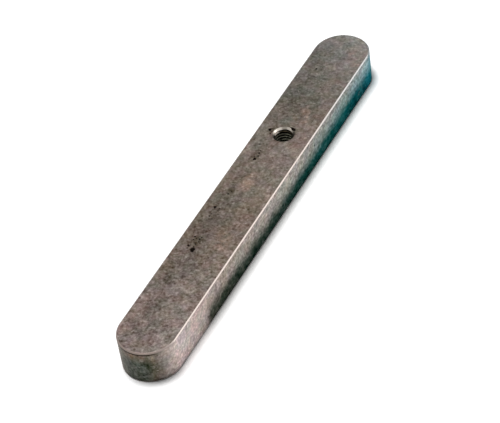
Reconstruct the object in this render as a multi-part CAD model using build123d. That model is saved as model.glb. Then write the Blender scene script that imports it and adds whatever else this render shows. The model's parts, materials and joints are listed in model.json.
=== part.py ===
"""A parallel key: a bar of bright-drawn steel with two round ends that locks a hub to a shaft.

It is machined from one piece. The top and bottom edges are chamfered all the way round,
and one tapped hole goes right through it, so that a jack screw run down against the floor
of the shaft's keyseat lifts the key out.

The frame is in millimetres. The origin is the centre of the bottom face, the one that
seats in the shaft. +X runs along the key towards the end nearer the tapped hole, and +Z
points up, out of the shaft.
"""

from build123d import *
from math import radians, tan
import os

# The bar.
KEY_WIDTH = 22.0
KEY_HEIGHT = 14.0
KEY_LENGTH = 180.0
EDGE_CHAMFER = 0.4

# The tapped hole, on the centre line.
HOLE_TO_NEAR_END = 62.5
THREAD_DIAMETER = 8.0
THREAD_PITCH = 1.25

# The hole is countersunk a little wider than its thread, more at the top than underneath.
TOP_COUNTERSINK_MARGIN = 0.2
BOTTOM_COUNTERSINK_MARGIN = 0.05
COUNTERSINK_ANGLE = 90.0

# What follows from them.
HOLE_X = KEY_LENGTH / 2 - HOLE_TO_NEAR_END
THREAD_RADIUS = THREAD_DIAMETER / 2
TAP_DRILL_RADIUS = (THREAD_DIAMETER - THREAD_PITCH) / 2


def countersink_depth(rim_radius):
    """How deep a countersink goes, from its rim down to the drilled wall."""
    return (rim_radius - TAP_DRILL_RADIUS) / tan(radians(COUNTERSINK_ANGLE / 2))


def key_blank():
    """The bar: its plan is a slot outline, and both faces have a chamfer round the edge."""
    plan = SlotOverall(KEY_LENGTH, KEY_WIDTH)
    bar = extrude(plan, KEY_HEIGHT)
    rims = bar.faces().sort_by(Axis.Z)
    return chamfer([*rims[0].edges(), *rims[-1].edges()], EDGE_CHAMFER)


def tapped_hole():
    """What the drill, the tap and the two countersinks take out, turned about the hole's axis.

    The wall is at the tapping-drill diameter, which the thread's crests keep.
    """
    top_rim = THREAD_RADIUS + TOP_COUNTERSINK_MARGIN
    bottom_rim = THREAD_RADIUS + BOTTOM_COUNTERSINK_MARGIN
    half_section = Polyline(
        (0, 0),
        (bottom_rim, 0),
        (TAP_DRILL_RADIUS, countersink_depth(bottom_rim)),
        (TAP_DRILL_RADIUS, KEY_HEIGHT - countersink_depth(top_rim)),
        (top_rim, KEY_HEIGHT),
        (0, KEY_HEIGHT),
        close=True,
    )
    cutter = revolve(Plane.XZ * make_face(half_section), Axis.Z)
    return Pos(HOLE_X, 0, 0) * cutter


parallel_key = key_blank() - tapped_hole()

os.makedirs("parts", exist_ok=True)
export_step(parallel_key, "parts/parallel_key.step")
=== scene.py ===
# %% [markdown]
# # A parallel key in worn steel
#
# A parallel key is a plain steel bar that lies half in a shaft and half in a hub, so that the two
# turn as one. This one has two round ends, a small chamfer round both faces, and a tapped hole for
# the screw that lifts it out. It is one piece, so it becomes one closed mesh. Booleans could cut the
# hole out of a bar, but they leave long ragged faces round a thread. So every face, the thread
# included, is a surface worked out with numpy, and the patches are welded at the end.
#
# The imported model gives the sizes. Everything below is in metres, in its frame: the origin is in
# the middle of the bottom face, +X runs towards the end nearer the hole, and +Z points up.

# %% Load the frame and read the key's sizes from it
import json
from math import cos, pi, radians, sin, tan

import bmesh
import bpy
import numpy as np
from mathutils import Matrix, Vector


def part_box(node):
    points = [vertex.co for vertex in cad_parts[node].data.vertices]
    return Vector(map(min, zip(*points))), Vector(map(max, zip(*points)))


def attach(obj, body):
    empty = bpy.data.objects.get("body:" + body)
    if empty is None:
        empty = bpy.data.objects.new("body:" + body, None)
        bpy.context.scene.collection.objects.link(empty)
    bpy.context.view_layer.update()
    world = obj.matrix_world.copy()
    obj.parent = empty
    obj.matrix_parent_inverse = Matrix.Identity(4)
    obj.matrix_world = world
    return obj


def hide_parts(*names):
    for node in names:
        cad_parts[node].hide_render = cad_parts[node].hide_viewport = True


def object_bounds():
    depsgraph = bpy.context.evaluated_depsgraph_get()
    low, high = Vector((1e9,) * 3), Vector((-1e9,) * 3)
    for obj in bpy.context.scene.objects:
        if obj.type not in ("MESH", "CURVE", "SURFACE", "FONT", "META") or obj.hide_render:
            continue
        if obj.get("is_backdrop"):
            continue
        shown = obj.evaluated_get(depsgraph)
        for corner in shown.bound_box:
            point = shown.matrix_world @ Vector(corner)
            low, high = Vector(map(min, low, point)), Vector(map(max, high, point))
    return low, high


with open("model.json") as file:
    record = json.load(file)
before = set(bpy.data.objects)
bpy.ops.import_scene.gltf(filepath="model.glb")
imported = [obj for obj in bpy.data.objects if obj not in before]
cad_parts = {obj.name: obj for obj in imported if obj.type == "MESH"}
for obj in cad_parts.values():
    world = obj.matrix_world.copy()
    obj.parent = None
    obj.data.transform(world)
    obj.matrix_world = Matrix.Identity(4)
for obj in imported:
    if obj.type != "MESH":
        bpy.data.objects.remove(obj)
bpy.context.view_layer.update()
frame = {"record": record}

MM = 0.001
low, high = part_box("parallel_key")
LENGTH, WIDTH, HEIGHT = high - low
END_RADIUS = WIDTH / 2
SPINE_END = LENGTH / 2 - END_RADIUS
thread_mount = next(m for m in frame["record"]["mounts"] if m["name"] == "jack_screw_thread")
HOLE_X = thread_mount["pos_m"][0]
DRILL_RADIUS = thread_mount["dims"]["r_mm"] * MM
print(f"key {LENGTH / MM:.1f} x {WIDTH / MM:.1f} x {HEIGHT / MM:.1f} mm, hole at x {HOLE_X / MM:.1f} mm")

# %% [markdown]
# ## The camera
#
# A long lens from well back keeps the bar's long edges nearly parallel. A camera could be aimed with
# a Track To constraint, but then it can't be rolled. Here it is placed by what it looks at, which
# way it looks, how far it looks down and how far it is rolled, because those are the things a
# person would say. The three axes of its turn follow from the angles.

# %% Place the camera
CAMERA_AIM = Vector((-14.43, -6.79, 14.0)) * MM
CAMERA_DISTANCE = 713.5 * MM
CAMERA_HEADING = radians(57.56)
CAMERA_DOWN = radians(42.26)
CAMERA_ROLL = radians(-8.99)
CAMERA_LENS = 144.14
CAMERA_CLIP_START = 0.01


def camera_axes(heading, down, roll):
    """Right, up and backward. Forward is (sin h cos d, cos h cos d, -sin d): h from +Y, d downwards."""
    forward = Vector((sin(heading) * cos(down), cos(heading) * cos(down), -sin(down)))
    level = Vector((cos(heading), -sin(heading), 0))
    upright = level.cross(forward)
    right = level * cos(roll) + upright * sin(roll)
    return right, right.cross(forward), -forward


right, up, backward = camera_axes(CAMERA_HEADING, CAMERA_DOWN, CAMERA_ROLL)
camera = bpy.data.objects.new("camera", bpy.data.cameras.new("camera"))
camera.data.lens = CAMERA_LENS
camera.data.clip_start = CAMERA_CLIP_START
camera.matrix_world = Matrix.Translation(CAMERA_AIM + backward * CAMERA_DISTANCE) @ Matrix(
    (right, up, backward)).transposed().to_4x4()
bpy.context.scene.collection.objects.link(camera)
bpy.context.scene.camera = camera
print("camera at", [round(v, 4) for v in camera.matrix_world.translation])

# %% [markdown]
# ## Floor and sky
#
# Bare metal shows what is around it, so the sky and the floor have to look white. If they also lit
# the bar as strongly as that, the shadow would be washed out. So they are white only to the camera
# and to reflections, and a soft grey fill to everything else. The Light Path node tells those rays
# apart. Its Diffuse Depth leaves out rays that have met the floor first, which would otherwise
# carry the white sky round the bar and fill in the shadow.

# %% Tell the kinds of ray apart
MIX_FIRST, MIX_SECOND, MIX_RESULT = 6, 7, 2  # the colour sockets of a Mix node

scene = bpy.context.scene
scene.view_settings.view_transform = "Standard"


def grey_by_ray(tree, hidden, mirrored, seen):
    """A grey: `seen` to camera rays, `mirrored` to their reflections, `hidden` to all other rays."""
    path = tree.nodes.new("ShaderNodeLightPath")
    fresh = tree.nodes.new("ShaderNodeMath")
    fresh.operation = "LESS_THAN"
    tree.links.new(path.outputs["Diffuse Depth"], fresh.inputs[0])
    fresh.inputs[1].default_value = 0.5
    grey = (hidden, hidden, hidden, 1)
    levels = (("Is Transmission Ray", mirrored), ("Is Glossy Ray", mirrored), ("Is Camera Ray", seen))
    for name, level in levels:
        share = tree.nodes.new("ShaderNodeMath")
        share.operation = "MULTIPLY"
        tree.links.new(path.outputs[name], share.inputs[0])
        tree.links.new(fresh.outputs[0], share.inputs[1])
        blend = tree.nodes.new("ShaderNodeMix")
        blend.data_type = "RGBA"
        tree.links.new(share.outputs[0], blend.inputs["Factor"])
        if isinstance(grey, tuple):
            blend.inputs[MIX_FIRST].default_value = grey
        else:
            tree.links.new(grey, blend.inputs[MIX_FIRST])
        blend.inputs[MIX_SECOND].default_value = (level, level, level, 1)
        grey = blend.outputs[MIX_RESULT]
    return grey


print("view transform", scene.view_settings.view_transform)

# %% Hang the sky
FILL_LIGHT = 0.08

world = bpy.data.worlds.new("white_sky")
world.use_nodes = True
scene.world = world
sky = world.node_tree.nodes["Background"]
world.node_tree.links.new(grey_by_ray(world.node_tree, FILL_LIGHT, 1.0, 1.0), sky.inputs["Color"])
print("sky fills with", FILL_LIGHT)

# %% [markdown]
# The floor is a plain white square, no wider than the shadow needs, and past its edge the sky is
# just as white. Its colour is brighter still to the camera, so that only the dark heart of the
# shadow is left.

# %% Lay the floor
FLOOR_SIZE = 0.5
FLOOR_GREY = 0.60
FLOOR_MIRRORED = 2.0
FLOOR_SEEN = 2.8

floor_paint = bpy.data.materials.new("floor")
floor_paint.use_nodes = True
floor_tree = floor_paint.node_tree
floor_tree.nodes.remove(floor_tree.nodes["Principled BSDF"])
matte = floor_tree.nodes.new("ShaderNodeBsdfDiffuse")
floor_tree.links.new(grey_by_ray(floor_tree, FLOOR_GREY, FLOOR_MIRRORED, FLOOR_SEEN), matte.inputs["Color"])
floor_tree.links.new(matte.outputs["BSDF"], floor_tree.nodes["Material Output"].inputs["Surface"])

floor_mesh = bpy.data.meshes.new("floor")
corner = FLOOR_SIZE / 2
floor_mesh.from_pydata(
    [(-corner, -corner, 0), (corner, -corner, 0), (corner, corner, 0), (-corner, corner, 0)],
    [], [(0, 1, 2, 3)])
floor_mesh.materials.append(floor_paint)
floor = bpy.data.objects.new("floor", floor_mesh)
scene.collection.objects.link(floor)
floor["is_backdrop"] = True
print("floor", FLOOR_SIZE, "m wide")

# %% [markdown]
# ## Lamps
#
# Two soft lamps do the rest. The large one hangs nearly overhead and a little behind, so the
# shadow is a narrow soft line, widest in front. The second is a low white card to the right, which
# the chamfer facing it mirrors as one thin bright line. Only reflections see it, so it doesn't
# lighten the floor. Each lamp is placed by its direction from the key and aimed back at it.

# %% Hang the lamps


def soft_lamp(name, azimuth, elevation, distance, size, radiance):
    """A square area lamp that faces the key. Its power is radiance * pi * its area."""
    a, e = radians(azimuth), radians(elevation)
    toward = Vector((cos(a) * cos(e), sin(a) * cos(e), sin(e)))
    data = bpy.data.lights.new(name, "AREA")
    data.shape = "SQUARE"
    data.size = size
    data.energy = radiance * pi * size * size
    lamp = bpy.data.objects.new(name, data)
    lamp.location = toward * distance
    lamp.rotation_mode = "QUATERNION"
    lamp.rotation_quaternion = toward.to_track_quat("Z", "Y")
    scene.collection.objects.link(lamp)
    return lamp


soft_lamp("overhead", azimuth=88, elevation=83, distance=1.4, size=0.42, radiance=13.6)
card = soft_lamp("card", azimuth=-52, elevation=25, distance=1.2, size=0.7, radiance=3.0)
card.visible_diffuse = False

# %% [markdown]
# ## Where the mesh needs points
#
# The faces are flat, so a few points would do, but the struck dents need close ones. An even grid
# that is fine enough for them would be about three times as heavy. So the rows and columns crowd
# together where the dents are and spread out elsewhere. The density that is wanted is summed along
# the line, and a point goes wherever the sum passes a whole number.

# %% Space points along a line
LINE_SAMPLES = 6001


def smooth(low, high, value):
    """0 below low, 1 above high, and 3t^2 - 2t^3 of the way t between them. It runs down if low > high."""
    t = np.clip((value - low) / (high - low), 0, 1)
    return t * t * (3 - 2 * t)


def crowded(start, stop, coarse, fine, stretches):
    """Places from start to stop: about `fine` apart inside the stretches, `coarse` apart elsewhere."""
    line = np.linspace(start, stop, LINE_SAMPLES)
    wanted = np.full_like(line, 1 / coarse)
    for first, last in stretches:
        inside = smooth(first - coarse, first, line) * smooth(last + coarse, last, line)
        wanted = np.maximum(wanted, 1 / coarse + inside * (1 / fine - 1 / coarse))
    total = np.concatenate([[0], np.cumsum((wanted[1:] + wanted[:-1]) / 2 * np.diff(line))])
    return np.interp(np.linspace(0, total[-1], int(np.ceil(total[-1])) + 1), total, line)


print("a line is summed in", LINE_SAMPLES - 1, "steps")

# %% Choose rows and columns
CHAMFER = 0.4 * MM
ARRIS_RADIUS = 0.12 * MM
ARRIS_TANGENT = ARRIS_RADIUS * tan(radians(22.5))
FLAT_RADIUS = END_RADIUS - CHAMFER - ARRIS_TANGENT
HOLE_BLOCK = 9.0 * MM
END_STEPS = 36
COLUMN_STEP = 1.3 * MM
DENTED_COLUMN_STEP = 0.27 * MM
HOLE_COLUMN_STEP = 0.42 * MM
ROW_STEP = 0.75 * MM
DENTED_ROW_STEP = 0.25 * MM
DENTED_WIDTHS = ((3.0 * MM, 7.0 * MM),)
DENTED_LENGTHS = (
    (-58.0 * MM, -51.0 * MM),
    (-40.8 * MM, -31.5 * MM),
    (-22.0 * MM, -3.5 * MM),
    (10.5 * MM, 18.5 * MM),
    (65.5 * MM, 68.0 * MM),
)

block_start, block_end = HOLE_X - HOLE_BLOCK, HOLE_X + HOLE_BLOCK
across = crowded(0, FLAT_RADIUS, ROW_STEP, DENTED_ROW_STEP, DENTED_WIDTHS)
columns_before = crowded(-SPINE_END, block_start, COLUMN_STEP, DENTED_COLUMN_STEP, DENTED_LENGTHS)
columns_hole = crowded(block_start, block_end, HOLE_COLUMN_STEP, HOLE_COLUMN_STEP, ())
columns_after = crowded(block_end, SPINE_END, COLUMN_STEP, DENTED_COLUMN_STEP, DENTED_LENGTHS)
far_angles = np.radians(np.linspace(-90, 90, END_STEPS + 1))
near_angles = np.radians(np.linspace(90, 270, END_STEPS + 1))
print("rows across half the width", len(across))
print("columns", len(columns_before), len(columns_hole), len(columns_after))

# %% [markdown]
# ## Dents
#
# The top has been knocked about along one side: a few clear pits, and patches of small round nicks.
# Bump in the material could suggest them, but real hollows look right from every side. Each is a
# bowl, an ellipse turned at some angle that is deepest in the middle. The nicks come from a seeded
# draw, so they are the same on every run, and they keep a small gap from one another.

# %% Say where the marks are
STRUCK_PATCHES = (
    # centre x, centre y, half length, half width, how many, depth, all but the count in mm
    (-54.7, 5.0, 2.8, 1.5, 8, 0.12),
    (-35.5, 4.8, 3.4, 1.8, 26, 0.30),
    (-19.5, 4.8, 3.6, 1.7, 16, 0.20),
    (-6.8, 4.6, 2.4, 1.3, 8, 0.16),
    (14.1, 4.7, 3.2, 1.2, 14, 0.26),
)
CLEAR_PITS = (
    # centre x, centre y, half length, half width, turn, depth, all but the turn in mm
    (-38.9, 3.8, 1.25, 0.95, 10, 0.45),
    (-37.4, 6.2, 0.66, 0.52, 20, 0.28),
    (-33.2, 3.9, 0.56, 0.46, 30, 0.22),
    (-32.5, 6.1, 0.50, 0.44, 0, 0.24),
    (-23.2, 5.2, 0.46, 0.40, 0, 0.18),
    (-16.4, 6.3, 0.72, 0.58, 0, 0.34),
    (-8.5, 5.0, 0.48, 0.42, 0, 0.20),
    (11.7, 4.3, 0.80, 0.64, 0, 0.38),
    (15.2, 4.1, 0.56, 0.44, 20, 0.26),
    (19.8, 6.1, 0.48, 0.40, 0, 0.16),
    (28.5, 6.2, 0.90, 0.60, 32, 0.45),
    (26.4, 5.0, 0.50, 0.38, 10, 0.22),
    (31.55, -2.0, 1.65, 0.58, 64, 0.45),
    (66.6, 4.8, 0.60, 0.50, 0, 0.20),
)
NICK_SEED = 11
NICK_GAP = 1.15
NICK_HALF_LENGTHS = (0.34, 0.52)
NICK_ROUNDNESS = (0.75, 1.0)
NICK_DEPTHS = (0.5, 1.0)
print(len(CLEAR_PITS), "clear pits and", len(STRUCK_PATCHES), "struck patches")

# %% Scatter the nicks and shape the bowls


def scattered_nicks(patches, kept, seed):
    """Small round bowls drawn evenly in each patch, but none nearer than NICK_GAP to one already kept."""
    draw = np.random.default_rng(seed)
    nicks = []
    for x, y, half_length, half_width, count, depth in patches:
        for _ in range(count):
            place_x = x + draw.uniform(-half_length, half_length)
            place_y = y + draw.uniform(-half_width, half_width)
            size = draw.uniform(*NICK_HALF_LENGTHS)
            narrow = size * draw.uniform(*NICK_ROUNDNESS)
            turn = draw.uniform(0, 180)
            nick = (place_x, place_y, size, narrow, turn, depth * draw.uniform(*NICK_DEPTHS))
            gaps = [np.hypot(place_x - other[0], place_y - other[1]) for other in (*kept, *nicks)]
            if min(gaps) > NICK_GAP:
                nicks.append(nick)
    return np.array(nicks)


def bowl_depth(x, y, bowls):
    """The deepest of the bowls at x, y, each depth * (1 - q^2). q is 1 on a slightly wavy ellipse."""
    deepest = np.zeros_like(x)
    for centre_x, centre_y, half_length, half_width, turn, depth in bowls:
        u = (x - centre_x) * cos(radians(turn)) + (y - centre_y) * sin(radians(turn))
        v = (y - centre_y) * cos(radians(turn)) - (x - centre_x) * sin(radians(turn))
        around = np.arctan2(v / half_width, u / half_length)
        wave = 1 + 0.10 * np.sin(3 * around + 7 * centre_x) + 0.07 * np.sin(5 * around + 9 * centre_x)
        q = np.minimum(np.hypot(u / half_length, v / half_width) / wave, 1)
        deepest = np.maximum(deepest, depth * (1 - q ** 2))
    return deepest


dents = np.concatenate([np.array(CLEAR_PITS), scattered_nicks(STRUCK_PATCHES, CLEAR_PITS, NICK_SEED)])
DEEPEST = dents[:, 5].max() * MM


def top_sink(x, y):
    """The dents' depth on the top face, in metres, for places in metres."""
    return bowl_depth(x / MM, y / MM, dents) * MM


def no_sink(x, y):
    """The bottom face has no dents: 0 everywhere."""
    return np.zeros_like(x)


print(len(dents), "dents, the deepest", round(DEEPEST / MM, 2), "mm")

# %% [markdown]
# ## The two faces
#
# A face is a slot shape with a round hole. No single grid fits that well, so it is cut into five
# patches: a fan at each round end, a plain grid on each straight stretch, and a block round the
# hole whose lines run from the circle out to a rectangle. Neighbours share their edge points.

# %% Make the patches of a face
RING_STEPS = 26


def loop_round_block(half_length, rows, columns):
    """The points round a rectangle, anticlockwise from its low corner, first point repeated last."""
    side = np.column_stack([np.full(len(rows), half_length), rows])
    back = np.column_stack([columns[::-1], np.full(len(columns), rows[-1])])
    other = np.column_stack([np.full(len(rows), -half_length), rows[::-1]])
    front = np.column_stack([columns, np.full(len(columns), rows[0])])
    return np.concatenate([side[:-1], back[:-1], other[:-1], front])


rows = np.concatenate([-across[:0:-1], across])
block_loop = loop_round_block(HOLE_BLOCK, rows, columns_hole - HOLE_X)
rim_angles = np.unwrap(np.arctan2(block_loop[:, 1], block_loop[:, 0]))


def face_patches(z, rim_radius, sink):
    """Grids of (x, y), fans of centre + r (cos a, sin a), and a ring that blends rim into rectangle.

    All lie at height z, sunk into the bar by sink(x, y), round a hole as wide as rim_radius.
    """
    def lie(x, y):
        """Points at x, y, sunk down into the top or up into the bottom."""
        return np.stack([x, y, z - sink(x, y) * (1 if z > 0 else -1)], -1)

    patches = []
    for columns in (columns_before, columns_after):
        patches.append(lie(*np.meshgrid(columns, rows, indexing="ij")))
    for centre, angles in ((SPINE_END, far_angles), (-SPINE_END, near_angles)):
        patches.append(lie(centre + np.outer(np.cos(angles), across), np.outer(np.sin(angles), across)))
    share = np.linspace(0, 1, RING_STEPS + 1)[:, None]
    rim = rim_radius[:, None] * np.column_stack([np.cos(rim_angles), np.sin(rim_angles)])
    patches.append(lie(HOLE_X + rim[:, 0] * (1 - share) + block_loop[:, 0] * share,
                       rim[:, 1] * (1 - share) + block_loop[:, 1] * share))
    return patches


print("lines from the hole to its block", len(rim_angles) - 1)

# %% [markdown]
# ## Sides and chamfers
#
# Everything between the two faces is one profile carried round the outline. A Bevel modifier could
# cut the chamfer, but it would blunt the thread's sharp corners too. The profile comes off the top
# face, rolls over the arris, down the chamfer, down the side and back in underneath. The outline is
# the centre line, out along a direction that swings half a turn at each end.

# %% Carry the edge profile round the outline
ARRIS_STEPS = 3
SIDE_STEPS = 10


def edge_profile():
    """Pairs of (distance in from the side, height). Each arris is a 45 degree arc between two flats."""
    turn = np.radians(np.linspace(0, 45, ARRIS_STEPS + 1))
    first = np.column_stack([CHAMFER + ARRIS_TANGENT - ARRIS_RADIUS * np.sin(turn),
                             ARRIS_RADIUS * (1 - np.cos(turn))])
    second = first[::-1, ::-1]
    top = np.concatenate([first, second])
    side = np.linspace(top[-1, 1], HEIGHT - top[-1, 1], SIDE_STEPS + 1)[1:-1]
    inset = np.concatenate([top[:, 0], np.zeros(len(side)), top[::-1, 0]])
    below = np.concatenate([top[:, 1], side, HEIGHT - top[::-1, 1]])
    return np.column_stack([inset, HEIGHT - below])


def outline():
    """Points of the centre line, and the outward direction at each, once round anticlockwise."""
    straight = np.concatenate([columns_before, columns_hole[1:], columns_after[1:]])
    count = len(straight)
    spine = np.concatenate([straight, np.full(END_STEPS + 1, SPINE_END),
                            straight[::-1], np.full(END_STEPS + 1, -SPINE_END)])
    angles = np.concatenate([np.full(count, far_angles[0]), far_angles,
                             np.full(count, near_angles[0]), near_angles])
    return spine, angles


def wall_patch():
    """(spine + r cos a, r sin a, height) for every point of the profile, with r = end radius - inset."""
    spine, angles = outline()
    inset, height = edge_profile().T
    reach = END_RADIUS - inset
    return np.stack([spine[:, None] + np.outer(np.cos(angles), reach),
                     np.outer(np.sin(angles), reach),
                     np.broadcast_to(height, (len(spine), len(height)))], -1)


print("profile of", len(edge_profile()), "points carried to", len(outline()[0]), "places")

# %% [markdown]
# ## The thread
#
# A Screw modifier could wind a thread, but it would not meet the countersinks cleanly. A tapped hole
# is what a drill, a tap and a countersink took out, and each leaves a radius that depends only on
# the height and the angle. So the hole is as wide as the widest of the three there. The top
# countersink leans a little to one side, so its rim is slightly off the axis.

# %% Say how wide the hole is
THREAD_RADIUS = 4.0 * MM
PITCH = 1.25 * MM
TOP_RIM = 4.2 * MM
TOP_LEAN = 0.15 * MM
TOP_LEAN_TOWARD = radians(35)
BOTTOM_RIM = 4.05 * MM
FLANK_ANGLE = radians(30)
THREAD_DEPTH = THREAD_RADIUS - DRILL_RADIUS
ROOT_HALF = PITCH / 16
MOUTH_HALF = ROOT_HALF + THREAD_DEPTH * tan(FLANK_ANGLE)
THREAD_START = 0.33


def plain_radius(angle, z):
    """The hole without its thread: the widest of the drill and two 45 degree cones, one off the axis."""
    top_cone = TOP_RIM + TOP_LEAN * np.cos(angle - TOP_LEAN_TOWARD) - (HEIGHT - z)
    return np.maximum(DRILL_RADIUS, np.maximum(top_cone, BOTTOM_RIM - z))


def hole_radius(angle, z):
    """The wider of the plain hole and the groove, a blunt V whose middle climbs one pitch a turn."""
    climb = (z / PITCH - angle / (2 * pi) - THREAD_START + 0.5) % 1 - 0.5
    groove = DRILL_RADIUS + (MOUTH_HALF - np.abs(climb) * PITCH) / tan(FLANK_ANGLE)
    return np.maximum(np.minimum(groove, THREAD_RADIUS), plain_radius(angle, z))


print("top rim radius", [round(r / MM, 2) for r in hole_radius(np.array([0, pi]), HEIGHT)], "mm")

# %% [markdown]
# The grid's rows climb one pitch a turn, so they follow the thread and keep its corners crisp. Rows
# that would run out of the bar are pressed flat into the rims, or onto the floor of a chip in the
# top one.

# %% Cut the thread
SPARE_TURNS = 3


def thread_patch():
    """Rows at z = start + pitch * angle / 2 pi, at the corners of the thread's profile and between them."""
    mid_flank = (MOUTH_HALF + ROOT_HALF) / 2
    mid_land = (MOUTH_HALF + PITCH / 2) / 2
    corners = np.array([-MOUTH_HALF, -mid_flank, -ROOT_HALF, 0, ROOT_HALF, mid_flank, MOUTH_HALF,
                        mid_land, PITCH / 2, PITCH - mid_land])
    turns = np.arange(-SPARE_TURNS, int(HEIGHT / PITCH) + SPARE_TURNS + 1)
    starts = np.sort((turns[:, None] * PITCH + corners).ravel()) + THREAD_START * PITCH
    z = np.clip(starts[:, None] + PITCH * rim_angles / (2 * pi), 0, HEIGHT)
    radius = hole_radius(rim_angles, z)
    around, aside = np.cos(rim_angles), np.sin(rim_angles)
    rim = hole_radius(rim_angles, HEIGHT)
    z = np.minimum(z, HEIGHT - top_sink(HOLE_X + rim * around, rim * aside))
    return np.stack([HOLE_X + radius * around, radius * aside, z], -1)


print("thread rows and columns", thread_patch().shape[:2])

# %% [markdown]
# ## Weld the patches into one closed mesh
#
# Each patch is a grid of points, so its quads join four neighbours. Laid side by side, patches
# repeat their shared points. Merging points closer than a micrometre closes the shell and also
# clears away the rows that were pressed flat.

# %% Define the weld
WELD = 1e-6


def grid_quads(rows, columns):
    """Each quad joins (i, j), (i+1, j), (i+1, j+1) and (i, j+1) of a grid numbered row by row."""
    index = np.arange(rows * columns).reshape(rows, columns)
    return np.stack([index[:-1, :-1], index[1:, :-1], index[1:, 1:], index[:-1, 1:]], -1).reshape(-1, 4)


def weld(name, patches):
    """One mesh of all the patches, with shared points merged and the faces turned outwards."""
    starts = np.cumsum([0] + [p.shape[0] * p.shape[1] for p in patches])
    points = np.concatenate([p.reshape(-1, 3) for p in patches])
    quads = np.concatenate([grid_quads(*p.shape[:2]) + start for p, start in zip(patches, starts)])
    mesh = bpy.data.meshes.new(name)
    mesh.from_pydata(points.tolist(), [], quads.tolist())
    shell = bmesh.new()
    shell.from_mesh(mesh)
    bmesh.ops.remove_doubles(shell, verts=shell.verts, dist=WELD)
    bmesh.ops.dissolve_degenerate(shell, edges=shell.edges, dist=WELD / 10)
    bmesh.ops.recalc_face_normals(shell, faces=shell.faces)
    open_edges = sum(not edge.is_manifold for edge in shell.edges)
    triangles = sum(len(face.verts) - 2 for face in shell.faces)
    shell.to_mesh(mesh)
    shell.free()
    print(f"{name}: {triangles} triangles, {open_edges} open edges")
    return mesh


# %% Build the key and hand it to the frame
SHARP_ANGLE = radians(28)

patches = face_patches(HEIGHT, hole_radius(rim_angles, HEIGHT), top_sink)
patches += face_patches(0.0, hole_radius(rim_angles, 0.0), no_sink)
patches += [wall_patch(), thread_patch()]
key_mesh = weld("parallel_key_steel", patches)
key_mesh.shade_smooth()
key_mesh.set_sharp_from_angle(angle=SHARP_ANGLE)
key = bpy.data.objects.new("parallel_key_steel", key_mesh)
scene.collection.objects.link(key)
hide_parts("parallel_key")
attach(key, "root")
print("patches", len(patches))

# %% [markdown]
# ## Short names for shader nodes
#
# A finish is a network of nodes, and wiring one by hand takes many lines. This small class makes
# each kind of node with one call, so that the finish below reads like a recipe. Colours are
# written as they look on a screen and turned into the linear numbers that a shader needs.

# %% Define the paint helper


def tone(red, green, blue):
    """A colour from its screen values of 0 to 255, made linear: ((c + 0.055) / 1.055) ^ 2.4."""
    return [((c / 255 + 0.055) / 1.055) ** 2.4 for c in (red, green, blue)] + [1.0]


class Paint:
    """A material whose nodes are made by short calls. Any value may be a number, a colour or a socket."""

    def __init__(self, name):
        self.material = bpy.data.materials.new(name)
        self.material.use_nodes = True
        self.tree = self.material.node_tree
        self.shader = self.tree.nodes["Principled BSDF"]

    def feed(self, socket, value):
        """Link a socket, or set a plain value."""
        if isinstance(value, bpy.types.NodeSocket):
            self.tree.links.new(value, socket)
        else:
            socket.default_value = value

    def math(self, operation, *values):
        """The result of a Math node."""
        node = self.tree.nodes.new("ShaderNodeMath")
        node.operation = operation
        for socket, value in zip(node.inputs, values):
            self.feed(socket, value)
        return node.outputs[0]

    def product(self, first, second):
        """first * second, for two numbers."""
        return self.math("MULTIPLY", first, second)

    def between(self, share, first, second):
        """The number that lies `share` of the way from first to second."""
        return self.math("ADD", first, self.product(share, self.math("SUBTRACT", second, first)))

    def smooth(self, low, high, value):
        """smooth() from above, as a Map Range node."""
        node = self.tree.nodes.new("ShaderNodeMapRange")
        node.interpolation_type = "SMOOTHSTEP"
        for name, number in (("Value", value), ("From Min", low), ("From Max", high)):
            self.feed(node.inputs[name], number)
        return node.outputs["Result"]

    def noise(self, places, blotch, detail, seed):
        """Smooth noise from 0 to 1 whose blotches are about `blotch` metres across."""
        node = self.tree.nodes.new("ShaderNodeTexNoise")
        node.noise_dimensions = "4D"
        for name, number in (("Vector", places), ("W", seed), ("Scale", 1 / blotch), ("Detail", detail)):
            self.feed(node.inputs[name], number)
        return node.outputs["Fac"]

    def mix(self, share, first, second, how="MIX"):
        """The colour that lies `share` of the way from first to second, or blends them another way."""
        node = self.tree.nodes.new("ShaderNodeMix")
        node.data_type = "RGBA"
        node.blend_type = how
        for index, value in ((0, share), (MIX_FIRST, first), (MIX_SECOND, second)):
            self.feed(node.inputs[index], value)
        return node.outputs[MIX_RESULT]

    def times(self, colour, factor):
        """A colour times a colour or a number, each channel by itself."""
        return self.mix(1.0, colour, factor, "MULTIPLY")

    def tint(self, colour, share, factor):
        """The colour that lies `share` of the way from a colour to that colour times a factor."""
        return self.mix(share, colour, self.times(colour, factor))

    def cover(self, colour, mask, strength, paint):
        """Paint laid over a colour, mask * strength thick."""
        return self.mix(self.product(mask, strength), colour, paint)

    def ramp(self, value, stops):
        """The colour at `value` on a line of (place, colour) stops, with even blends between them."""
        low, high = stops[0][0], stops[-1][0]
        node = self.tree.nodes.new("ShaderNodeValToRGB")
        elements = node.color_ramp.elements
        while len(elements) < len(stops):
            elements.new(0.5)
        for element, (place, colour) in zip(elements, stops):
            element.position = (place - low) / (high - low)
            element.color = colour
        span = self.math("MULTIPLY_ADD", value, 1 / (high - low), -low / (high - low))
        self.feed(node.inputs["Fac"], span)
        return node.outputs["Color"]


steel = Paint("worn_steel")
print("material", steel.material.name)

# %% [markdown]
# ## Where a point is on the key
#
# The finish changes from place to place, and the key's shape is simple enough to say in a formula
# where a point is. That needs no UV map, and it stays sharp from close by. `inset` is how far a point
# lies inside the outline, seen from above. `corner` adds how far it lies from the nearer face: on a
# chamfer that sum is the chamfer's own size, and everywhere else it is more, so one number finds
# both rims. `bore` is the distance from the hole's axis.

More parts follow.
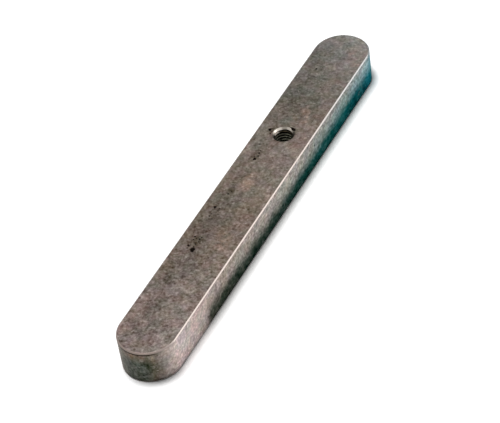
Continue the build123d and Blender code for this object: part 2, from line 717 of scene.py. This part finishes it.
# %% Work out where the outside ends
places = steel.tree.nodes.new("ShaderNodeTexCoord").outputs["Object"]
split = steel.tree.nodes.new("ShaderNodeSeparateXYZ")
steel.feed(split.inputs["Vector"], places)
x, y, z = split.outputs


def distance(along, across_it):
    """The length of a step: sqrt(along^2 + across_it^2)."""
    squares = [steel.product(step, step) for step in (along, across_it)]
    return steel.math("SQRT", steel.math("ADD", *squares))


past_spine = steel.math("MAXIMUM", steel.math("SUBTRACT", steel.math("ABSOLUTE", x), SPINE_END), 0.0)
inset = steel.math("SUBTRACT", END_RADIUS, distance(past_spine, y))
below_top = steel.math("SUBTRACT", HEIGHT, z)
corner = steel.math("ADD", inset, steel.math("MINIMUM", z, below_top))
on_side = steel.smooth(CHAMFER, CHAMFER / 2, inset)
on_chamfer = steel.smooth(CHAMFER + 0.10 * MM, CHAMFER + 0.03 * MM, corner)
print("masks for the faces, the sides and the chamfers")

# %% Work out what lies in the hole
from_hole = steel.math("SUBTRACT", x, HOLE_X)
bore = distance(from_hole, y)


def facing(direction):
    """cos(a - direction), a being a point's angle about the hole: (dx cos + dy sin of it) / bore."""
    ahead = steel.math("MULTIPLY_ADD", from_hole, cos(direction), steel.product(y, sin(direction)))
    return steel.math("DIVIDE", ahead, bore)


lean_cosine = facing(TOP_LEAN_TOWARD)
cone_radius = steel.math("SUBTRACT", steel.math("MULTIPLY_ADD", lean_cosine, TOP_LEAN, TOP_RIM), below_top)
above_cone = steel.math("SUBTRACT", bore, cone_radius)
in_countersink = steel.smooth(0.08 * MM, 0.03 * MM, above_cone)
in_thread = steel.product(steel.smooth(BOTTOM_RIM + 0.03 * MM, BOTTOM_RIM, bore),
                          steel.smooth(0.01 * MM, 0.03 * MM, below_top))
print("masks for the thread and the countersink")

# %% [markdown]
# ## The steel itself
#
# Bare steel that has been handled for years is never one grey. One noise looks like cloud, so
# several sizes are laid over each other: a fine speckle and flakes, a coarser mottle, and slow
# drifts from warm to cool. How dark the bar is at each place along it is no accident of noise, and a
# colour ramp along the bar sets that. A fade across the top is painted light: the top is painted
# lighter towards the front and darker towards the back.

# %% Make the noises
speckle = steel.noise(places, blotch=0.85 * MM, detail=2.5, seed=1.0)
flakes = steel.noise(places, blotch=1.5 * MM, detail=2.0, seed=6.0)
mottle = steel.noise(places, blotch=3.2 * MM, detail=3.0, seed=2.0)
hue = steel.noise(places, blotch=3.6 * MM, detail=2.0, seed=11.0)
cast = steel.noise(places, blotch=4.5 * MM, detail=1.5, seed=7.0)
drift = steel.noise(places, blotch=14 * MM, detail=2.0, seed=3.0)


def lighter(colour, noise, amount):
    """A colour made lighter and darker by a noise, times 1 + amount * (noise - 0.5)."""
    factor = steel.math("MULTIPLY_ADD", noise, amount, 1 - amount / 2)
    return steel.times(colour, steel.math("MAXIMUM", factor, 0.2))


print("six noises")

# %% Mottle the faces
PAINTED_LIGHT_ACROSS = 0.34
BACK_EDGE_TINT = (1.27, 1.27, 1.27, 1)
FRONT_EDGE_TINT = (1.06, 1.01, 1.05, 1)
GREENISH = (0.975, 1.0, 0.985, 1)
WARM = (1.08, 0.98, 0.93, 1)

face = steel.ramp(x, (
    (-0.090, tone(113, 100, 96)),
    (-0.060, tone(107, 96, 90)),
    (-0.020, tone(98, 87, 79)),
    (-0.008, tone(107, 96, 88)),
    (0.020, tone(110, 100, 93)),
    (0.050, tone(95, 90, 83)),
    (0.060, tone(105, 99, 93)),
    (0.070, tone(107, 101, 96)),
    (0.090, tone(121, 117, 113)),
))
# Painted light: the top lighter towards the front and darker towards the back.
face = lighter(face, steel.smooth(10 * MM, -10 * MM, y), PAINTED_LIGHT_ACROSS)
# A lighter strip along the back edge, and a slightly pinker one along the front edge.
back_edge = steel.product(steel.smooth(5.5 * MM, 9.0 * MM, y), steel.smooth(80 * MM, 30 * MM, x))
face = steel.tint(face, back_edge, BACK_EDGE_TINT)
front_edge = steel.product(steel.smooth(0.0, -8.0 * MM, y), steel.smooth(0.0, 30 * MM, x))
face = steel.tint(face, front_edge, FRONT_EDGE_TINT)
face = steel.mix(steel.smooth(0.42, 0.60, mottle), steel.times(face, GREENISH), face)
face = steel.tint(face, steel.product(steel.smooth(0.48, 0.66, drift), 0.5), WARM)
print("face mottled")

# %% [markdown]
# ## Flanks and the painted dark reflection
#
# The flanks are painted brighter than the top, partly for their ground finish and partly as painted
# reflection: brightest near the near end, and blue-green towards the far end, where the painted teal
# reflection reaches further up. The lower half is painted nearly black, greenish, and blue-green
# towards the far end, as a painted dark reflection. It stops short of the near end. On the other
# flank the dark reflection is painted greyer and has no teal. It is a second colour ramp, and a noise
# makes its upper edge ragged.

# %% Colour the flanks and paint their reflections
TEAL_REFLECTION_TINT = (0.97, 1.16, 1.22, 1)

# Painted reflection: the flank brightest near the near end and blue-green towards the far end.
flank = steel.ramp(x, (
    (-0.090, tone(197, 182, 179)),
    (-0.068, tone(192, 177, 172)),
    (-0.050, tone(152, 138, 130)),
    (0.000, tone(166, 157, 149)),
    (0.030, tone(144, 142, 136)),
    (0.060, tone(135, 139, 135)),
    (0.075, tone(131, 144, 147)),
    (0.082, tone(130, 152, 158)),
    (0.090, tone(140, 144, 142)),
))
other_flank = steel.smooth(-3 * MM, 8 * MM, y)
# Painted teal reflection, reaching higher up the front flank towards the far end.
teal_reflection = steel.product(steel.smooth(12.2 * MM, 10.3 * MM, z), steel.smooth(15 * MM, 60 * MM, x))
teal_reflection = steel.product(teal_reflection, steel.math("SUBTRACT", 1.0, other_flank))
flank = steel.tint(flank, teal_reflection, TEAL_REFLECTION_TINT)
print("flanks ground")

# %% Paint the dark reflection
DARK_REFLECTION_WOBBLE = 3 * MM
DARK_REFLECTION_DROP = 1.0 * MM
GREY_DARK_REFLECTION = tone(60, 70, 63)

# Painted dark reflection on the lower half of the flanks: nearly black, greenish, blue-green far on.
dark_reflection = steel.ramp(x, (
    (-0.060, tone(72, 65, 50)),
    (0.000, tone(64, 70, 59)),
    (0.030, tone(30, 76, 70)),
    (0.060, tone(8, 88, 89)),
    (0.074, tone(4, 84, 92)),
    (0.082, tone(6, 116, 128)),
    (0.085, tone(60, 110, 114)),
    (0.090, tone(76, 92, 90)),
))
ragged = steel.noise(places, blotch=7 * MM, detail=3.0, seed=4.0)
wobble = steel.product(steel.math("SUBTRACT", ragged, 0.5), DARK_REFLECTION_WOBBLE)
deeper = steel.product(steel.smooth(20 * MM, 80 * MM, x), -DARK_REFLECTION_DROP)
dark_reflection_level = steel.smooth(11.0 * MM, 3.0 * MM, steel.math("ADD", z, steel.math("ADD", wobble, deeper)))
dark_reflection_start = steel.smooth(-61 * MM, -55 * MM, steel.math("ADD", x, wobble))
dark_reflection_share = steel.product(dark_reflection_level, dark_reflection_start)
# The other flank's painted dark reflection is greyer.
side = steel.mix(dark_reflection_share, flank, steel.cover(dark_reflection, other_flank, 0.7, GREY_DARK_REFLECTION))
print("film laid")

# %% [markdown]
# The nose at the near end is painted dark as painted shade, lighter towards the top, and streaked up
# and down. A noise gives upright streaks when its places are squeezed in height first, which is the
# Mapping node's work. The near flank also has one dark fleck.

# %% Paint shade on the nose and drop the fleck
NOSE_TOP = tone(107, 94, 82)
NOSE_MIDDLE = tone(71, 74, 66)
NOSE_BESIDE = tone(78, 73, 59)
STREAK_STRETCH = (1.0, 1.0, 0.3)
DARKER_STREAK = (0.72, 0.80, 0.70, 1)
LIGHTER_STREAK = (1.24, 1.15, 1.04, 1)
FLECK_X, FLECK_Z = 30.3 * MM, 9.6 * MM
FLECK = tone(30, 36, 34)

around_nose = steel.math("ARCTAN2", y, steel.math("ADD", x, SPINE_END))
nose_angle = steel.math("SUBTRACT", pi, steel.math("ABSOLUTE", around_nose))
on_nose = steel.product(steel.smooth(radians(95), radians(25), nose_angle),
                        steel.smooth(-SPINE_END, -SPINE_END - 2 * MM, x))
# Painted shade: the nose darkest at its tip and lighter towards the top.
low_nose = steel.mix(steel.smooth(radians(12), radians(40), nose_angle), NOSE_MIDDLE, NOSE_BESIDE)
nose = steel.mix(steel.smooth(8 * MM, 12.5 * MM, z), low_nose, NOSE_TOP)
streaks = steel.tree.nodes.new("ShaderNodeMapping")
steel.feed(streaks.inputs["Vector"], places)
streaks.inputs["Scale"].default_value = STREAK_STRETCH
streak = steel.noise(streaks.outputs["Vector"], blotch=2.6 * MM, detail=3.0, seed=8.0)
nose = steel.tint(nose, steel.smooth(0.50, 0.68, streak), DARKER_STREAK)
nose = steel.tint(nose, steel.smooth(0.48, 0.32, streak), LIGHTER_STREAK)
side = steel.mix(on_nose, side, nose)

from_fleck = distance(steel.math("SUBTRACT", x, FLECK_X), steel.math("SUBTRACT", z, FLECK_Z))
on_fleck = steel.product(steel.smooth(0.80 * MM, 0.40 * MM, from_fleck), steel.math("LESS_THAN", y, 0.0))
side = steel.cover(side, on_fleck, 0.8, FLECK)
print("nose stained")

# %% [markdown]
# ## What each vertex carries
#
# Dirt lies in the dents and grooves, and rust comes in blooms. Nodes could find each dent again, but
# numpy has just worked them out. So each vertex carries four numbers as attributes: how deep its
# dent is, how grimy and how rusty its place is, and how deep it lies in the thread. The finish
# reads them, and so it follows the shape.

# %% Say where rust and grime are
RUST_BLOOMS = (
    # centre x, centre y, half width in mm
    (-1.8, 0.6, 2.8),
    (3.0, 2.2, 1.6),
    (-31.8, -4.6, 3.0),
    (-28.0, -3.0, 1.8),
    (39.5, -3.0, 3.2),
    (73.7, -8.4, 1.5),
    (78.7, -4.7, 1.4),
)
RUST_LENGTHENED = 1.4
GRIME_LENGTHENED, GRIME_WIDENED = 1.2, 1.3
GRIME_BY_HOLE = (28.4, 5.3, 2.6, 0.9)


def blooms(x, y, spots):
    """How near x, y is to the nearest spot: exp(-((dx / half length)^2 + (dy / half width)^2))."""
    nearest = np.zeros_like(x)
    for centre_x, centre_y, half_length, half_width in spots:
        squares = ((x - centre_x) / half_length) ** 2 + ((y - centre_y) / half_width) ** 2
        nearest = np.maximum(nearest, np.exp(-squares))
    return nearest


rusty_spots = [(spot_x, spot_y, RUST_LENGTHENED * half, half) for spot_x, spot_y, half in RUST_BLOOMS]
grimy_spots = [(patch_x, patch_y, GRIME_LENGTHENED * half_length, GRIME_WIDENED * half_width)
               for patch_x, patch_y, half_length, half_width, _, _ in STRUCK_PATCHES]
grimy_spots.append(GRIME_BY_HOLE)
print(len(rusty_spots), "rust blooms and", len(grimy_spots), "grimy spots")

# %% Store it on the mesh
SLACK = CHAMFER / 10


def store(mesh, name, values):
    """Keep one number a vertex on the mesh, for the shader to read."""
    mesh.attributes.new(name, "FLOAT", "POINT").data.foreach_set("value", values)
    print(f"{name}: {int((values > 0.05).sum())} vertices, up to {values.max():.2f}")


points = np.empty(len(key_mesh.vertices) * 3)
key_mesh.vertices.foreach_get("co", points)
points = points.reshape(-1, 3)
on_top = points[:, 2] > HEIGHT - DEEPEST - SLACK
on_flat = np.hypot(np.maximum(np.abs(points[:, 0]) - SPINE_END, 0), points[:, 1]) < FLAT_RADIUS
top_x, top_y = points[:, 0] / MM, points[:, 1] / MM
bore_angle = np.arctan2(points[:, 1], points[:, 0] - HOLE_X)
past_plain = np.hypot(points[:, 0] - HOLE_X, points[:, 1]) - plain_radius(bore_angle, points[:, 2])
in_bore = (past_plain < THREAD_DEPTH + SLACK) & (past_plain > 0)
store(key_mesh, "dent", np.where(on_top & on_flat, bowl_depth(top_x, top_y, dents) * MM / DEEPEST, 0.0))
store(key_mesh, "grime", blooms(top_x, top_y, grimy_spots) * on_top)
store(key_mesh, "rust", blooms(top_x, top_y, rusty_spots) * on_top)
store(key_mesh, "groove", np.where(in_bore, past_plain / THREAD_DEPTH, 0.0))

# %% Read it back in the material


def stored(name):
    """The number that a vertex carries, spread evenly between vertices."""
    node = steel.tree.nodes.new("ShaderNodeAttribute")
    node.attribute_name = name
    return node.outputs["Fac"]


dent, grime, rust, groove = stored("dent"), stored("grime"), stored("rust"), stored("groove")
print("attributes", [a.name for a in key_mesh.attributes if a.data_type == "FLOAT"])

# %% [markdown]
# ## Casts, rust and speckle
#
# Faces and sides now come together, and what they share is laid over both. Two slow noises shift
# the colour a little, cool to pink and leafy to rosy. Then the mottle, the rust and grime, the
# speckle and the painted glints, small bright specks that stand for highlights, go on in that order,
# because the finest marks lie on top. The contrast isn't the same everywhere: the ground sides show
# the marks more than the top does.

# %% Shift the colour of the whole bar
COOL, PINK = (0.963, 1.010, 1.027, 1), (1.038, 1.0, 0.962, 1)
LEAFY, ROSY = (0.974, 1.020, 0.976, 1), (1.026, 0.980, 1.024, 1)

colour = steel.mix(on_side, face, side)
cool, pink = steel.times(colour, COOL), steel.times(colour, PINK)
colour = steel.mix(steel.smooth(0.35, 0.65, cast), cool, pink)
leafy, rosy = steel.times(colour, LEAFY), steel.times(colour, ROSY)
colour = steel.mix(steel.smooth(0.38, 0.62, hue), leafy, rosy)
print("casts mixed")

# %% Set the contrast of each place
TOP_CONTRAST, TOP_CONTRAST_PER_METRE = 0.845, -1.8
NEAR_SIDE_CONTRAST, SIDE_CONTRAST, NOSE_CONTRAST = 0.94, 1.20, 0.86

top_contrast = steel.math("MULTIPLY_ADD", x, TOP_CONTRAST_PER_METRE, TOP_CONTRAST)
near_to_far = steel.smooth(-62 * MM, -50 * MM, x)
side_contrast = steel.between(near_to_far, NEAR_SIDE_CONTRAST, SIDE_CONTRAST)
contrast = steel.between(on_side, top_contrast, steel.between(on_nose, side_contrast, NOSE_CONTRAST))
print("contrast set")

# %% Mottle, rust and speckle the steel
MOTTLING, SPECKLING, FLAKING = 0.9, 2.15, 0.6
GREY_SHARE, DARKER_SHARE = 0.12, 0.66
DARKEST = (0.004, 0.004, 0.004, 1)
RUST, SMUDGE = tone(150, 122, 105), tone(72, 64, 50)
PAINTED_GLINT, WORN_MARK = tone(168, 160, 152), tone(44, 38, 29)


def greyer(colour, noise, amount):
    """colour * (1 + c) + grey * c, at least DARKEST. c is amount * (noise - 0.5), a third less below 0."""
    centred = steel.math("SUBTRACT", noise, 0.5)
    centred = steel.math("MAXIMUM", centred, steel.product(centred, DARKER_SHARE))
    change = steel.product(centred, amount)
    scaled = steel.times(colour, steel.math("ADD", change, 1.0))
    added = steel.mix(1.0, scaled, steel.product(change, GREY_SHARE), "ADD")
    return steel.mix(1.0, added, DARKEST, "LIGHTEN")


colour = greyer(colour, mottle, steel.product(contrast, MOTTLING))
colour = steel.cover(colour, steel.product(rust, steel.smooth(0.35, 0.6, mottle)), 0.55, RUST)
smudged = steel.product(steel.smooth(0.15, 0.9, grime), steel.smooth(0.30, 0.60, mottle))
colour = steel.cover(colour, smudged, 0.7, SMUDGE)
colour = greyer(colour, speckle, steel.product(contrast, SPECKLING))
colour = greyer(colour, flakes, steel.product(contrast, FLAKING))
# Painted glints: small bright specks standing in for highlights.
glint = steel.noise(places, blotch=1.4 * MM, detail=1.0, seed=12.0)
colour = steel.cover(colour, steel.smooth(0.64, 0.76, glint), 0.40, PAINTED_GLINT)
struck = steel.noise(places, blotch=1.0 * MM, detail=0.0, seed=9.0)
worn_mark = steel.product(steel.smooth(0.56, 0.68, struck), steel.smooth(0.25, 0.75, grime))
colour = steel.cover(colour, worn_mark, 0.65, WORN_MARK)
print("steel speckled")

# %% [markdown]
# ## Edges
#
# Edges are touched most, so the chamfers are rubbed bare, and beside the nose they are painted
# brighter still as a painted highlight. The Geometry node's Pointiness could find them roughly, but
# the corner mask from above finds them exactly. Just under the nose's own chamfer a thin dark line is
# painted shade.

# %% Rub the chamfers
PAINTED_SHADE_LINE = tone(44, 36, 29)
NEAR_RIM, FAR_RIM = tone(150, 140, 135), tone(144, 143, 143)
NOSE_RIM, LIT_NOSE_RIM = tone(144, 130, 123), tone(176, 158, 153)

# Painted shade: a thin dark line just under the nose's chamfer.
shade_line = steel.product(steel.smooth(1.30 * MM, 0.95 * MM, below_top), on_side)
shade_line = steel.product(shade_line, steel.smooth(radians(46), radians(34), nose_angle))
colour = steel.cover(colour, steel.product(shade_line, on_nose), 0.85, PAINTED_SHADE_LINE)
rim = steel.mix(steel.smooth(10 * MM, 75 * MM, x), NEAR_RIM, FAR_RIM)
# Painted highlight: the nose's chamfer brighter beside the nose.
nose_rim = steel.mix(steel.smooth(radians(45), radians(80), nose_angle), NOSE_RIM, LIT_NOSE_RIM)
rim = steel.mix(on_nose, rim, nose_rim)
colour = steel.mix(on_chamfer, colour, rim)
print("chamfers rubbed")

# %% [markdown]
# ## The hole and the dirt
#
# The thread is painted dark, darkest in its grooves, with lighter crests deeper down. Its wall is
# painted shade on the side away from the countersink's lean, and one painted highlight sits near the
# top. The countersink above it is painted lit on the side that it leans to and shaded on the other,
# with a painted highlight in one place and darker on both sides of that. A round hole is easiest to
# paint by direction from its axis, and facing() compares a point's direction with a given one. Last
# of all, dirt fills the dents.

# %% Paint the thread
UPPER_CREST, LOWER_CREST = tone(44, 37, 27), tone(104, 104, 90)
DARK_GROOVE, CLOT, SHADED_WALL = tone(28, 28, 21), tone(22, 20, 14), tone(12, 11, 8)
THREAD_HIGHLIGHT, THREAD_HIGHLIGHT_TOWARD = tone(160, 152, 142), radians(76)

crest = steel.mix(steel.smooth(1.6 * MM, 3.2 * MM, below_top), UPPER_CREST, LOWER_CREST)
wall = steel.mix(steel.smooth(0.15, 0.6, groove), crest, DARK_GROOVE)
clot = steel.noise(places, blotch=1.6 * MM, detail=1.0, seed=10.0)
wall = steel.cover(wall, steel.smooth(0.48, 0.60, clot), 0.75, CLOT)
# Painted shade on the thread's wall that faces away from the countersink's lean.
wall = steel.mix(steel.smooth(0.05, 0.75, lean_cosine), SHADED_WALL, wall)
# Painted highlight near the top of the thread.
thread_highlight = steel.product(steel.smooth(0.90, 0.98, facing(THREAD_HIGHLIGHT_TOWARD)),
                         steel.smooth(2.1 * MM, 0.9 * MM, below_top))
wall = steel.cover(wall, thread_highlight, 0.8, THREAD_HIGHLIGHT)
colour = steel.mix(in_thread, colour, wall)
print("thread oiled")

# %% Brighten the countersink and fill the dents with dirt
SHADED_CONE, LIT_CONE = tone(62, 57, 49), tone(174, 166, 156)
CONE_HIGHLIGHT, CONE_HIGHLIGHT_TOWARD = tone(208, 200, 190), radians(60)
DARKER_CONE, DARKER_TOWARD = tone(70, 64, 55), (radians(20), radians(106))
DIRT = tone(20, 15, 10)

# Painted light and shade: the countersink lit on the side that it leans to, shaded on the other.
cone = steel.mix(steel.smooth(0.05, 0.70, lean_cosine), SHADED_CONE, LIT_CONE)
# Painted highlight where the countersink is brightest.
cone = steel.cover(cone, steel.smooth(0.90, 0.98, facing(CONE_HIGHLIGHT_TOWARD)), 0.6, CONE_HIGHLIGHT)
# Darker on both sides of the highlight.
darker_spots = steel.math("MAXIMUM", steel.smooth(0.95, 0.995, facing(DARKER_TOWARD[0])),
                  steel.smooth(0.88, 0.975, facing(DARKER_TOWARD[1])))
cone = steel.cover(cone, darker_spots, 0.5, DARKER_CONE)
colour = steel.mix(in_countersink, colour, cone)
dirt = steel.smooth(0.03, 0.32, steel.product(dent, steel.math("ADD", speckle, 0.5)))
colour = steel.mix(dirt, colour, DIRT)
print("countersink bright, dents dirty")

# %% [markdown]
# ## Gloss and relief
#
# Colour alone looks printed, so the masks change the roughness too: rubbed places and the painted
# dark reflection are glossier, and dirty ones are dull. A fine grain and the mottle give the surface
# a slight relief, too small for the mesh, so it is bump. Over the painted dark reflection and round
# the far end, the bright glance that metal has when it is seen along its surface is dimmed, which is
# the shader's Specular Tint.

# %% Set the gloss
ROUGHNESS, MOTTLE_ROUGHNESS = 0.38, 0.14
DARK_REFLECTION_GLOSS, RUBBED_GLOSS, COUNTERSINK_GLOSS, DIRT_DULLNESS = -0.14, -0.12, -0.10, 0.25
CLEAN_GLANCE, DARK_REFLECTION_GLANCE = (1.0, 1.0, 1.0, 1.0), (0.32, 0.48, 0.50, 1.0)

rough = steel.math("MULTIPLY_ADD", mottle, MOTTLE_ROUGHNESS, ROUGHNESS)
rough = steel.math("MULTIPLY_ADD", steel.product(dark_reflection_share, on_side), DARK_REFLECTION_GLOSS, rough)
rough = steel.math("MULTIPLY_ADD", on_chamfer, RUBBED_GLOSS, rough)
rough = steel.math("MULTIPLY_ADD", in_countersink, COUNTERSINK_GLOSS, rough)
rough = steel.math("MULTIPLY_ADD", dirt, DIRT_DULLNESS, rough)
dimmed_glance_share = steel.math("MAXIMUM", dark_reflection_share, steel.smooth(78 * MM, 82 * MM, x))
glance = steel.mix(steel.product(dimmed_glance_share, on_side), CLEAN_GLANCE, DARK_REFLECTION_GLANCE)
print("gloss set")

# %% Raise the grain and finish the material
GRAIN_HEIGHT, MOTTLE_HEIGHT = 0.006 * MM, 0.02 * MM

grain = steel.noise(places, blotch=0.35 * MM, detail=3.0, seed=5.0)
relief = steel.math("MULTIPLY_ADD", grain, GRAIN_HEIGHT, steel.product(mottle, MOTTLE_HEIGHT))
bump = steel.tree.nodes.new("ShaderNodeBump")
bump.inputs["Distance"].default_value = 1.0
steel.feed(bump.inputs["Height"], relief)

steel.feed(steel.shader.inputs["Specular Tint"], glance)
steel.feed(steel.shader.inputs["Base Color"], colour)
steel.feed(steel.shader.inputs["Roughness"], rough)
steel.feed(steel.shader.inputs["Normal"], bump.outputs["Normal"])
steel.shader.inputs["Metallic"].default_value = 1.0
key_mesh.materials.append(steel.material)
print("steel nodes", len(steel.tree.nodes))

# %% [markdown]
# ## The size, and the end
#
# A finish must not change a part's size, so the size of the imported model is printed at the start
# and the box of what has been made here at the end.

# %% Print the size of what was made
low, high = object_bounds()
print("size", [round((b - a) / MM, 2) for a, b in zip(low, high)], "mm")
